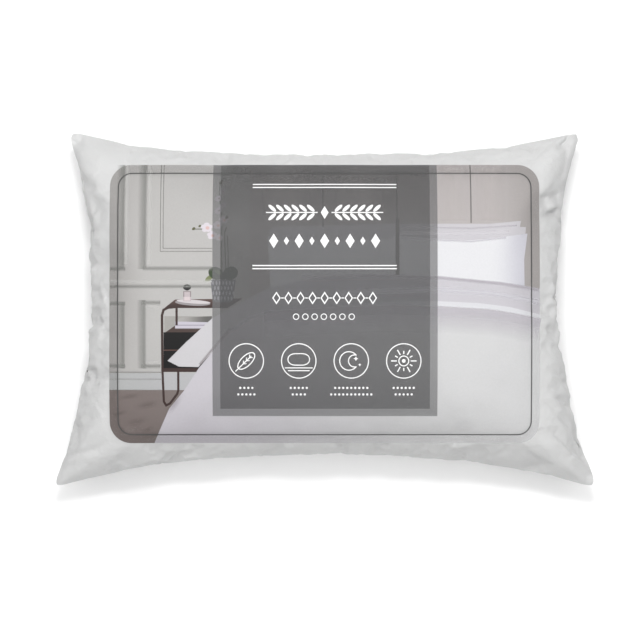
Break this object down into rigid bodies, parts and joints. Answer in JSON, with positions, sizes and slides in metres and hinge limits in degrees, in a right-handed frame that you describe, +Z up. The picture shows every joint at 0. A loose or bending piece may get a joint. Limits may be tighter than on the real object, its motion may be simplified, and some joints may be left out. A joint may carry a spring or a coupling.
{
  "type": "bed pillow",
  "caption": "Filled rectangular bed pillow with a knife-edge sewn casing, fibre batts inside, a folded care label and a loose printed film laid over the front.",
  "frame": {"origin": "middle of the flat patch that the filled pillow rests on, under its back panel", "axes": "+X along the pillow's length, +Y across its width towards the head edge, +Z up through the front panel and the printed film"},
  "size_m": [0.708, 0.464, 0.1931],
  "materials": {
    "casing_fabric": "matte",
    "hollow_fibre": "matte",
    "sewing_thread": "satin",
    "printed_film": "satin",
    "label_satin": "satin"
  },
  "bodies": {
    "pillow": {"front_panel": "casing_fabric", "back_panel": "casing_fabric", "lower_fibre_batt": "hollow_fibre", "middle_fibre_batt": "hollow_fibre", "upper_fibre_batt": "hollow_fibre", "overlock_seam_thread": "sewing_thread", "closing_seam_thread": "sewing_thread"},
    "film": {"printed_film": "printed_film"},
    "label": {"care_label": "label_satin"}
  },
  "joints": [
    {"name": "film_lift_off", "type": "slide", "parent": "pillow", "child": "film", "axis": [0, 0, 1], "range_m": [0, 0.15]},
    {"name": "label_hinge", "type": "hinge", "parent": "pillow", "child": "label", "pos_m": [0.3057, 0, 0.08], "axis": [0, -1, 0], "range_deg": [0, 150]}
  ]
}
